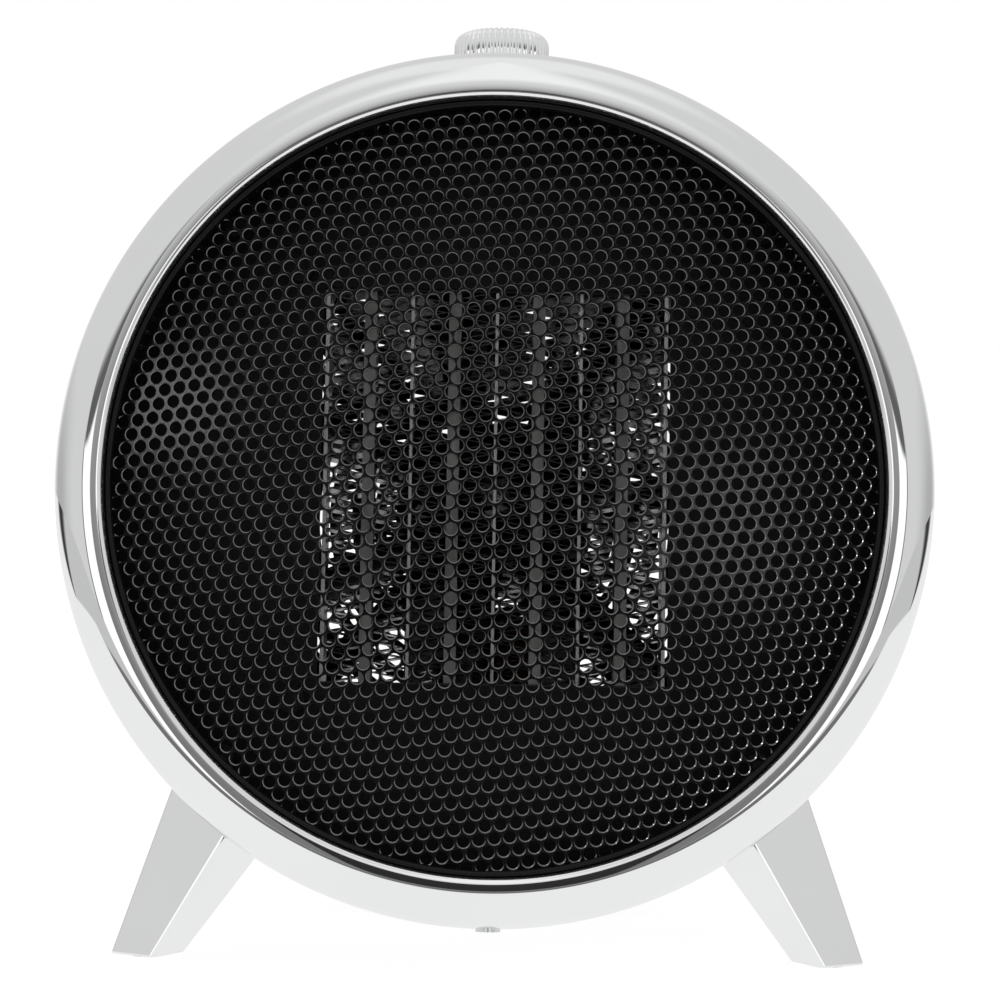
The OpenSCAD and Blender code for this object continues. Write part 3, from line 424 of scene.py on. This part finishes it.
tube_middle = (bezel_middle, 0)
inner_round = bezel_round - bezel_wall
inner_wall = opening_radius + bezel_wall
slip_radius = drum_radius + slip
rear_turn = asin(bezel_rear / bezel_round)
slip_turn = acos((slip_radius - bezel_middle) / inner_round)
wall_lean = asin((bezel_middle - inner_wall) / inner_round)
flat_turn = degrees(asin((bezel_middle - opening_radius - roll_round) / (flat_round - roll_round)))
bezel = start_profile("bezel_ring", bezel_middle + bezel_round * cos(rear_turn), bezel_rear)
arc_about(tube_middle, -90 - degrees(rear_turn), outer_steps)
arc_about((bezel_middle, flat_round - bezel_round), -flat_turn, edge_steps)
roll_in = Vector((sin(radians(flat_turn)), cos(radians(flat_turn))))
arc_about(pen + roll_in * roll_round, flat_turn - 90, edge_steps)
line_to(pen.x, roll_seat)
line_to(inner_wall, roll_seat)
line_to(inner_wall, -inner_round * cos(wall_lean))
arc_about(tube_middle, 90 - degrees(slip_turn) + degrees(wall_lean), inner_steps)
line_to(slip_radius, bezel_rear)
turn_on_lathe(ring_steps)
settle(bezel, made=chrome_plate("bezel_chrome", haze=0.02), smooth=50)
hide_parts("front_bezel")

# Trim strip
# A thin black strip with a round edge in front that clamps the grille's rim in the bezel. It is
# drawn steel, coated semi-gloss.
trim_outer = opening_radius - slip / 2
trim_width = 0.0015
trim_front = -0.0055
trim_steps = 20
trim = start_profile("trim_strip", trim_outer, trim_front + trim_width / 2)
arc_about((trim_outer - trim_width / 2, trim_front + trim_width / 2), -180, trim_steps)
line_to(trim_outer - trim_width, roll_seat)
line_to(trim_outer, roll_seat)
turn_on_lathe(ring_steps)
strip_coat = finish("strip_coat", shine=0.20)
vary(strip_coat, grain(strip_coat, 0.0006), 0.22, 0.42)
tint(strip_coat, grain(strip_coat, 0.02), (0.004, 0.004, 0.0045), (0.008, 0.008, 0.009))
relief(strip_coat, grain(strip_coat, 0.0008), 0.000006)
settle(trim, made=strip_coat, smooth=50)
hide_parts("grille_trim_ring")

# Grille
# Perforated steel sheet, 0.8 mm thick, with 3.2 mm holes at 4 mm, pressed to a shallow dome and
# coated black. The punch leaves each hole with a soft rim, and the rows lie a little askew.
hole_pitch = 0.0040
hole_radius = 0.00162
hole_rim = 0.00022
rim_shift = 0.00005
hole_sides = 12
sheet_thick = 0.0008
row_turn = radians(7.35)
first_hole = (0.00162, -0.00045)
dome_height = 0.0144
same_place = 1e-6
dome_edge = trim_outer - trim_width
dome_radius = (dome_edge ** 2 + dome_height ** 2) / (2 * dome_height)
dome_middle = roll_seat - dome_height + dome_radius
sheet_reach = 0.1015
row_pitch = hole_pitch * sqrt(3) / 2


def select_ring(piece, depth, below):
    """Selects the cell's edges at one depth that lie within a radius of the cell's middle."""
    bpy.ops.object.mode_set(mode="OBJECT")
    for v in piece.data.vertices:
        v.select = abs(v.co.y - depth) < same_place and v.co.xz.length < below
    for e in piece.data.edges:
        e.select = all(piece.data.vertices[i].select for i in e.vertices)
    for f in piece.data.polygons:
        f.select = False
    bpy.ops.object.mode_set(mode="EDIT")


deselect()
bpy.ops.mesh.primitive_circle_add(vertices=6, radius=hole_pitch / sqrt(3))
grille = bpy.context.object
grille.name = "grille_sheet"
black_coat = finish("grille_coat", shine=0.06)
vary(black_coat, grain(black_coat, 0.0007), 0.13, 0.22)
tint(black_coat, grain(black_coat, 0.03), (0.002, 0.002, 0.0022), (0.0045, 0.0045, 0.005))
relief(black_coat, grain(black_coat, 0.00045), 0.000004)
# Painted sheen: the rims get a lighter copy of the black coat with a far higher reflectance, so
# that they shine as bright rings.
rim_sheen_coat = finish("rim_sheen_coat")
rim_sheen_coat.node_tree.nodes["Principled BSDF"].inputs["IOR"].default_value = 2.3
vary(rim_sheen_coat, grain(rim_sheen_coat, 0.0005), 0.14, 0.34)
tint(rim_sheen_coat, grain(rim_sheen_coat, 0.004), (0.008, 0.008, 0.009), (0.018, 0.018, 0.019))
grille.data.materials.append(black_coat)
grille.data.materials.append(rim_sheen_coat)
bpy.ops.object.mode_set(mode="EDIT")
bpy.ops.mesh.primitive_circle_add(vertices=hole_sides, radius=hole_radius + hole_rim)
bpy.ops.mesh.select_all(action="SELECT")
bpy.ops.mesh.fill()
bpy.ops.mesh.select_all(action="SELECT")
bpy.ops.transform.rotate(value=pi / 2, orient_axis="X", center_override=(0, 0, 0))
bpy.ops.mesh.select_mode(type="VERT")
select_ring(grille, 0, hole_radius + 2 * hole_rim)
narrow = hole_radius / (hole_radius + hole_rim)
bpy.ops.mesh.extrude_edges_move(TRANSFORM_OT_translate={"value": (0, hole_rim, rim_shift)})
bpy.ops.transform.resize(value=(narrow, 1, narrow))
bpy.ops.mesh.extrude_edges_move(TRANSFORM_OT_translate={"value": (0, sheet_thick - hole_rim, 0)})
bpy.ops.mesh.select_all(action="DESELECT")
bpy.ops.mesh.primitive_circle_add(vertices=6, radius=hole_pitch / sqrt(3))
bpy.ops.transform.rotate(value=pi / 2, orient_axis="X", center_override=(0, 0, 0))
bpy.ops.transform.translate(value=(0, sheet_thick, 0))
select_ring(grille, sheet_thick, 1)
bpy.ops.mesh.fill()
bpy.ops.mesh.select_all(action="SELECT")
bpy.ops.mesh.quads_convert_to_tris()
bpy.ops.mesh.normals_make_consistent(inside=False)
bpy.ops.object.mode_set(mode="OBJECT")
# The rim faces take the painted sheen.
for face in grille.data.polygons:
    corners = [grille.data.vertices[i].co for i in face.vertices]
    if all(c.y < 1.5 * hole_rim and c.xz.length < hole_radius + 2 * hole_rim for c in corners):
        face.material_index = 1
bpy.ops.object.mode_set(mode="EDIT")
bpy.ops.mesh.select_all(action="SELECT")
bpy.ops.mesh.duplicate_move(TRANSFORM_OT_translate={"value": (hole_pitch / 2, 0, row_pitch)})
bpy.ops.object.mode_set(mode="OBJECT")
columns = 2 * int(sheet_reach / hole_pitch) + 4
double_rows = int(sheet_reach / row_pitch) + 2
for count, offset in ((columns, (hole_pitch, 0, 0)), (double_rows, (0, 0, 2 * row_pitch))):
    copies = grille.modifiers.new("holes", "ARRAY")
    copies.use_relative_offset = False
    copies.use_constant_offset = True
    copies.count = count
    copies.constant_offset_displace = offset
    bpy.ops.object.modifier_apply(modifier=copies.name)
first_corner = (
    first_hole[0] - columns // 2 * hole_pitch, 0, first_hole[1] - double_rows // 2 * 2 * row_pitch)
grille.data.transform(Matrix.Translation(first_corner))
faces_per_hole = len(grille.data.polygons) // (2 * columns * double_rows)
bpy.ops.object.mode_set(mode="EDIT")
bpy.ops.mesh.select_mode(type="FACE")
bpy.ops.mesh.select_all(action="DESELECT")
bpy.ops.object.mode_set(mode="OBJECT")
for first in range(0, len(grille.data.polygons), faces_per_hole):
    cell = grille.data.polygons[first:first + faces_per_hole]
    middle = sum((face.center.xz for face in cell), Vector((0, 0))) / faces_per_hole
    for face in cell:
        face.select = middle.length > sheet_reach
bpy.ops.object.mode_set(mode="EDIT")
bpy.ops.mesh.delete(type="FACE")
bpy.ops.mesh.select_all(action="SELECT")
bpy.ops.mesh.remove_doubles(threshold=1e-6)
bpy.ops.mesh.select_mode(type="EDGE")
bpy.ops.mesh.select_all(action="DESELECT")
bpy.ops.mesh.select_non_manifold(
    extend=False, use_wire=False, use_multi_face=False, use_non_contiguous=False, use_verts=False)
bpy.ops.mesh.bridge_edge_loops()
bpy.ops.mesh.select_all(action="SELECT")
bpy.ops.mesh.quads_convert_to_tris()
bpy.ops.mesh.normals_make_consistent(inside=False)
bpy.ops.object.mode_set(mode="OBJECT")
for v in grille.data.vertices:
    flat = Matrix.Rotation(row_turn, 2) @ v.co.xz
    across = sin(flat.length / dome_radius)
    out = flat.normalized() * across
    shell = dome_radius - v.co.y
    v.co = (out.x * shell, dome_middle - sqrt(1 - across ** 2) * shell, out.y * shell)
rim_stays_sharp = 31
settle(grille, smooth=rim_stays_sharp)
lamp_lit.objects.link(grille)
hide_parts("front_grille")

# Bezel screw
# A small plated pan-head screw under the bezel, with a cross slot, that ties it to the drum.
screw_plate = finish("screw_plating", metallic=1.0)
vary(screw_plate, grain(screw_plate, 0.0009), 0.12, 0.24)
tint(screw_plate, grain(screw_plate, 0.002), (0.66, 0.665, 0.67), (0.80, 0.805, 0.81))
relief(screw_plate, grain(screw_plate, 0.0003, stretch=(1, 1, 0.3)), 0.000004)
dress(screw_plate, "bezel_screw")

# Outlet baffle
# The dark well between the grille and the element is pressed steel, coated matt black against
# glare and heat. Four blackened screws hold it on the drum's bosses.
baffle_coat = finish("baffle_coat", shine=0.22)
vary(baffle_coat, grain(baffle_coat, 0.0012), 0.52, 0.72)
tint(baffle_coat, grain(baffle_coat, 0.012), (0.0028, 0.0028, 0.003), (0.005, 0.005, 0.0055))
relief(baffle_coat, grain(baffle_coat, 0.0006), 0.00002)
dress(baffle_coat, "outlet_baffle")
blackened = finish("blackened_steel", metallic=0.8)
vary(blackened, grain(blackened, 0.0008), 0.34, 0.52)
tint(blackened, grain(blackened, 0.003), (0.02, 0.02, 0.021), (0.05, 0.049, 0.048))
relief(blackened, grain(blackened, 0.0004), 0.000008)
dress(blackened, "baffle_screws", "rear_cover_screws")

# Element end caps
# The tubes stick in two bars of glass-filled moulding that stands the heat. The fibre gives the
# dark surface a dull, slightly mottled look.


def moulded(name, dark, light, roughness, cell=0.0007, shine=0.5):
    """Moulded plastic with a fine spark-eroded texture and a faint cloud of flow marks."""
    made = finish(name, shine=shine)
    vary(made, grain(made, cell * 3), roughness - 0.06, roughness + 0.08)
    tint(made, grain(made, 0.018, stretch=(1, 1, 0.4), detail=3.0), dark, light)
    relief(made, grain(made, cell), 0.000012)
    return made


dress(moulded("heat_moulding", (0.014, 0.014, 0.015), (0.026, 0.026, 0.027), 0.55),
      "element_top_cap", "element_bottom_cap")

# Element tubes and stones
# Four flat tubes of extruded aluminium, dull from the anodising, each with a row of brown
# ceramic stones pressed in, which heat up and limit their own temperature.
tube_metal = finish("tube_metal", metallic=1.0)
vary(tube_metal, grain(tube_metal, 0.0005, stretch=(1, 1, 0.05)), 0.32, 0.50)
tint(tube_metal, grain(tube_metal, 0.004, stretch=(1, 1, 0.2)),
     (0.15, 0.15, 0.145), (0.25, 0.25, 0.24))
relief(tube_metal, grain(tube_metal, 0.0003, stretch=(1, 1, 0.04)), 0.000006)
dress(tube_metal, "ptc_tubes")
stone = finish("fired_stone")
vary(stone, grain(stone, 0.0006), 0.65, 0.85)
tint(stone, grain(stone, 0.0014), (0.22, 0.155, 0.115), (0.36, 0.27, 0.21))
relief(stone, grain(stone, 0.0003), 0.00002)
dress(stone, "ptc_ceramics")

# Fin packs
# Thin strip folded zigzag and glued to the tubes, with bright plates between the packs and a rail
# at each side. The strip is smooth, and its folds catch the light; its dark colour is painted
# shade.
# Painted shade: the strip's dark colour and dark edge tint stand for the shade in the well behind
# the grille.
shaded_fin_strip = finish("shaded_fin_strip", metallic=1.0)
fin_edge_tint = 0.15
fin_shader = shaded_fin_strip.node_tree.nodes["Principled BSDF"]
fin_shader.inputs["Specular Tint"].default_value = (fin_edge_tint, fin_edge_tint, fin_edge_tint, 1)
vary(shaded_fin_strip, grain(shaded_fin_strip, 0.0011, stretch=(1, 0.15, 1)), 0.06, 0.20)
tint(shaded_fin_strip, grain(shaded_fin_strip, 0.006), (0.035, 0.036, 0.037), (0.075, 0.076, 0.078))
relief(shaded_fin_strip, grain(shaded_fin_strip, 0.0016), 0.00005)
dress(shaded_fin_strip, "fin_packs")
lamp_lit.objects.link(nodes["fin_packs"])
plate_strip = finish("plate_strip", metallic=1.0)
vary(plate_strip, grain(plate_strip, 0.0007, stretch=(1, 1, 0.08)), 0.22, 0.40)
tint(plate_strip, grain(plate_strip, 0.008), (0.42, 0.425, 0.43), (0.56, 0.565, 0.57))
relief(plate_strip, grain(plate_strip, 0.0005, stretch=(1, 1, 0.06)), 0.000008)
dress(plate_strip, "fin_separators", "element_side_rails")

# Element terminals
# Brass tabs crimped in the tubes' upper ends carry the current. Plain plated screws hold the
# element's ears on the baffle.


def rolled(name, dark, light, roughness, grit=0.0008):
    """Bare or plated metal with the fine lines and faint stains of rolling and handling."""
    lay = (1, 0.2, 1)
    made = finish(name, metallic=1.0)
    vary(made, grain(made, grit, stretch=lay), roughness - 0.07, roughness + 0.12)
    tint(made, grain(made, 0.005), dark, light)
    relief(made, grain(made, grit * 0.5, stretch=lay), 0.000006)
    return made


brass = rolled("brass_strip", (0.66, 0.47, 0.19), (0.80, 0.60, 0.28), 0.26)
dress(brass, "element_terminals")
zinc = rolled("zinc_plating", (0.46, 0.47, 0.48), (0.60, 0.61, 0.62), 0.28)
dress(zinc, "element_screws")

# Thermal cutoff and fuse
# The resettable cutoff is a brown thermoset disc on a plated bracket, and the one-time fuse is a
# white glazed sleeve beside it. Both open the circuit when the air stops.
dress(moulded("brown_thermoset", (0.085, 0.045, 0.026), (0.14, 0.08, 0.05), 0.38),
      "thermal_cutoff")
dress(zinc, "cutoff_bracket")
glaze = finish("fuse_glaze")
vary(glaze, grain(glaze, 0.002), 0.16, 0.32)
tint(glaze, grain(glaze, 0.003), (0.70, 0.66, 0.57), (0.82, 0.79, 0.72))
relief(glaze, grain(glaze, 0.0014), 0.00001)
dress(glaze, "thermal_fuse")

# Fan shroud
# A black moulded ring with arms that carry the motor behind the fan, on four plated screws.
dress(moulded("shroud_moulding", (0.010, 0.010, 0.011), (0.019, 0.019, 0.020), 0.50, shine=0.35),
      "fan_shroud")
dress(zinc, "shroud_screws")

# Fan
# A moulded axial fan in blue-black nylon, pushed on the motor's shaft with a plated nut.
dress(moulded("fan_nylon", (0.010, 0.016, 0.027), (0.018, 0.028, 0.045), 0.42), "fan_impeller")
dress(zinc, "impeller_nut")

# Motor
# A shaded-pole motor: a stack of thin steel sheets, a winding of enamelled copper wire on a nylon
# bobbin, a cast rotor on a ground shaft, and two die-cast brackets with bronze bearings.


def bands(made, pitch, turn=(0, 0, 0)):
    """Even bands along the piece's own first axis, one per pitch, in metres."""
    tree = made.node_tree
    place = tree.nodes.new("ShaderNodeTexCoord")
    mapping = tree.nodes.new("ShaderNodeMapping")
    mapping.inputs["Rotation"].default_value = turn
    wave = tree.nodes.new("ShaderNodeTexWave")
    wave.inputs["Scale"].default_value = 2 * pi / (20 * pitch)
    wave.inputs["Distortion"].default_value = 0.0
    tree.links.new(place.outputs["Object"], mapping.inputs["Vector"])
    tree.links.new(mapping.outputs["Vector"], wave.inputs["Vector"])
    return wave.outputs["Fac"]


sheet_pitch = 0.0005
across_sheets = (0, 0, pi / 2)
stack = finish("steel_sheets", metallic=0.9)
vary(stack, grain(stack, 0.0012), 0.34, 0.55)
tint(stack, bands(stack, sheet_pitch, across_sheets), (0.16, 0.165, 0.175), (0.36, 0.37, 0.39))
relief(stack, bands(stack, sheet_pitch, across_sheets), 0.00004)
wire_pitch = 0.00045
dress(stack, "motor_stator")
enamel = finish("enamelled_wire", metallic=0.75)
vary(enamel, grain(enamel, 0.0010), 0.24, 0.40)
tint(enamel, bands(enamel, wire_pitch), (0.10, 0.028, 0.010), (0.28, 0.095, 0.035))
relief(enamel, bands(enamel, wire_pitch), 0.00009)
dress(enamel, "motor_winding")
dress(moulded("bobbin_nylon", (0.66, 0.63, 0.55), (0.78, 0.75, 0.68), 0.42), "coil_bobbin")
ground = rolled("ground_steel", (0.50, 0.51, 0.52), (0.62, 0.63, 0.64), 0.20, grit=0.0004)
dress(ground, "motor_shaft", "motor_rotor")
cast = finish("die_casting", metallic=1.0)
vary(cast, grain(cast, 0.0015), 0.34, 0.54)
tint(cast, grain(cast, 0.007), (0.40, 0.405, 0.41), (0.56, 0.565, 0.57))
relief(cast, grain(cast, 0.0009), 0.00003)
dress(cast, "motor_front_bracket", "motor_rear_bracket")
bronze = finish("sintered_bronze", metallic=1.0)
vary(bronze, grain(bronze, 0.0005), 0.36, 0.58)
tint(bronze, grain(bronze, 0.0008), (0.34, 0.20, 0.085), (0.56, 0.36, 0.17))
relief(bronze, grain(bronze, 0.0004), 0.00002)
dress(bronze, "front_bearing", "rear_bearing")
dress(zinc, "motor_screws", "motor_nuts")

# Rear cover
# A black moulded dish with intake slots closes the back of the drum. Its satin surface is finely
# spark-eroded. The cord would go in through the rubber bush beside the lowest slots.
dress(moulded("cover_moulding", (0.013, 0.013, 0.014), (0.024, 0.024, 0.025), 0.40, cell=0.0005),
      "rear_cover")
rubber = finish("soft_rubber", shine=0.35)
vary(rubber, grain(rubber, 0.0014), 0.62, 0.84)
tint(rubber, grain(rubber, 0.006), (0.011, 0.011, 0.011), (0.024, 0.024, 0.0235))
relief(rubber, grain(rubber, 0.0005), 0.000025)
dress(rubber, "cord_bush")

# Terminal block
# A white nylon block inside the drum, where the cord's wires would be clamped.
dress(moulded("block_nylon", (0.70, 0.68, 0.62), (0.80, 0.78, 0.72), 0.46), "terminal_block")

# Tilt switch
# A brass weight hangs on a steel pin in an open nylon case and parts two contacts when the heater
# falls over.
dress(moulded("case_nylon", (0.72, 0.71, 0.67), (0.81, 0.80, 0.77), 0.40), "tip_switch_case")
dress(brass, "tip_pendulum", "tip_contacts")
dress(ground, "tip_pivot_pin")

# Legs
# Four square legs of cast zinc, polished and chromed, taper towards the drum and are screwed to
# it from inside. Each stands on a rubber pad let into its foot.
dress(chrome_plate("leg_chrome", haze=0.03),
      "leg_front_left", "leg_front_right", "leg_rear_left", "leg_rear_right")
dress(zinc, "leg_screws")
dress(rubber, "foot_pads")

# Dial plate
# A black moulded plate on top of the drum, with the four settings printed in white: 0 is off, 1
# is the fan alone, 2 and 3 are low and high heat.
control_back = 0.040
dial_top = drum_radius + 0.002
print_radius = 0.0159
print_height = 0.0034
print_thick = 0.00004
dress(moulded("dial_moulding", (0.012, 0.012, 0.013), (0.020, 0.020, 0.021), 0.34, cell=0.0004),
      "dial_plate")
print_white = moulded("print_white", (0.70, 0.70, 0.69), (0.78, 0.78, 0.77), 0.50, cell=0.0003)
for number in range(4):
    deselect()
    bpy.ops.object.text_add(location=(0, 0, 0))
    figure = bpy.context.object
    figure.data.body = str(number)
    figure.data.size = print_height
    figure.data.align_x = "CENTER"
    figure.data.align_y = "CENTER"
    figure.data.extrude = print_thick / 2
    bpy.ops.object.convert(target="MESH")
    bpy.ops.object.mode_set(mode="EDIT")
    bpy.ops.mesh.select_all(action="SELECT")
    bpy.ops.mesh.remove_doubles(threshold=1e-7)
    bpy.ops.mesh.normals_make_consistent(inside=False)
    bpy.ops.object.mode_set(mode="OBJECT")
    figure.name = "setting_" + str(number)
    figure.data.transform(Matrix.Rotation(pi, 4, "Z"))
    figure.data.transform(Matrix.Translation((0, -print_radius, print_thick / 2)))
    figure.data.transform(Matrix.Rotation(-number * pi / 2, 4, "Z"))
    on_dial = in_drum @ Matrix.Translation((0, control_back, dial_top))
    settle(figure, made=print_white, smooth=30, place=on_dial)

# Knob
# A moulded knob, chromed all over, with 44 rounded ridges that run up its side and over the
# shoulder to a shallow dish on top, where a black line points at the setting.
knob_radius = 0.01295
knob_height = 0.015
knob_shoulder = 0.0035
knob_base = dial_top + 0.0006
knob_dish = 0.00025
dish_edge = 0.0086
dish_lip = 0.0003
foot_height = 0.0005
foot_inset = 0.0004
skirt_inner = 0.0090
skirt_depth = 0.0044
bore_radius = 0.00303
bore_depth = 0.0108
shoulder_steps = 14
ridges = 44
steps_per_ridge = 8
ridge_depth = 0.00050
ridge_fade = 0.0009
shoulder_level = knob_height - knob_shoulder
shoulder_radius = knob_radius - knob_shoulder
knob = start_profile("knob_body", 0, knob_dish - knob_height)
line_to(dish_edge - knob_dish, knob_dish - knob_height)
line_to(dish_edge, -knob_height)
line_to(dish_edge + dish_lip, -knob_height)
line_to(shoulder_radius, -knob_height)
arc_about((shoulder_radius, -shoulder_level), 90, shoulder_steps)
line_to(knob_radius, -foot_height)
line_to(knob_radius - foot_inset, 0)
line_to(skirt_inner, 0)
line_to(skirt_inner, -skirt_depth)
line_to(bore_radius, -skirt_depth)
line_to(bore_radius, -bore_depth)
line_to(0, -bore_depth)
turn_on_lathe(ridges * steps_per_ridge, closed=False)
for v in knob.data.vertices:
    around = v.co.xz
    in_dish = around.length < dish_edge + slip
    in_skirt = around.length < skirt_inner + 2 * slip and v.co.y > -shoulder_level
    if in_dish or in_skirt:
        continue
    valley = 1 - abs(cos(atan2(around.y, around.x) * ridges / 2))
    rise = max(0.0, -v.co.y - shoulder_level)
    reach = max(0.0, around.length - shoulder_radius)
    lean = atan2(rise, reach) if rise > 0 else 0.0
    fade = min(1.0, (around.length - dish_edge) / ridge_fade)
    sink = ridge_depth * valley * fade
    shorter = around * (1 - sink * cos(lean) / around.length)
    v.co = (shorter.x, v.co.y + sink * sin(lean), shorter.y)
on_shaft = in_drum @ Matrix.Translation((0, control_back, knob_base))
settle(knob, body="knob", made=chrome_plate("knob_chrome", haze=0.04, bright=0.95), smooth=50,
       place=on_shaft @ Matrix.Rotation(-pi / 2, 4, "X"))
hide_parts("control_knob")

pointer_size = (0.0009, 0.0050, 0.0002)
pointer_reach = 0.0054
pointer_edge = 0.00006
deselect()
bpy.ops.mesh.primitive_cube_add(size=1, location=(0, 0, 0))
pointer = bpy.context.object
pointer.name = "knob_pointer"
bpy.ops.object.mode_set(mode="EDIT")
bpy.ops.transform.resize(value=pointer_size)
bpy.ops.transform.translate(value=(0, -pointer_reach, knob_height - knob_dish))
bpy.ops.mesh.bevel(offset=pointer_edge, segments=2)
bpy.ops.object.mode_set(mode="OBJECT")
pointer_paint = moulded(
    "pointer_paint", (0.010, 0.010, 0.011), (0.016, 0.016, 0.017), 0.36, cell=0.0003)
settle(pointer, body="knob", made=pointer_paint, place=on_shaft)

# Rotary switch
# The switch hangs under the top of the drum, held by a nut under the knob. Its brass shaft takes
# the knob, and six tabs take the wires.
dress(moulded("switch_moulding", (0.014, 0.014, 0.015), (0.028, 0.028, 0.029), 0.45),
      "switch_body")
dress(brass, "switch_shaft", "switch_terminals")
dress(zinc, "switch_nut")
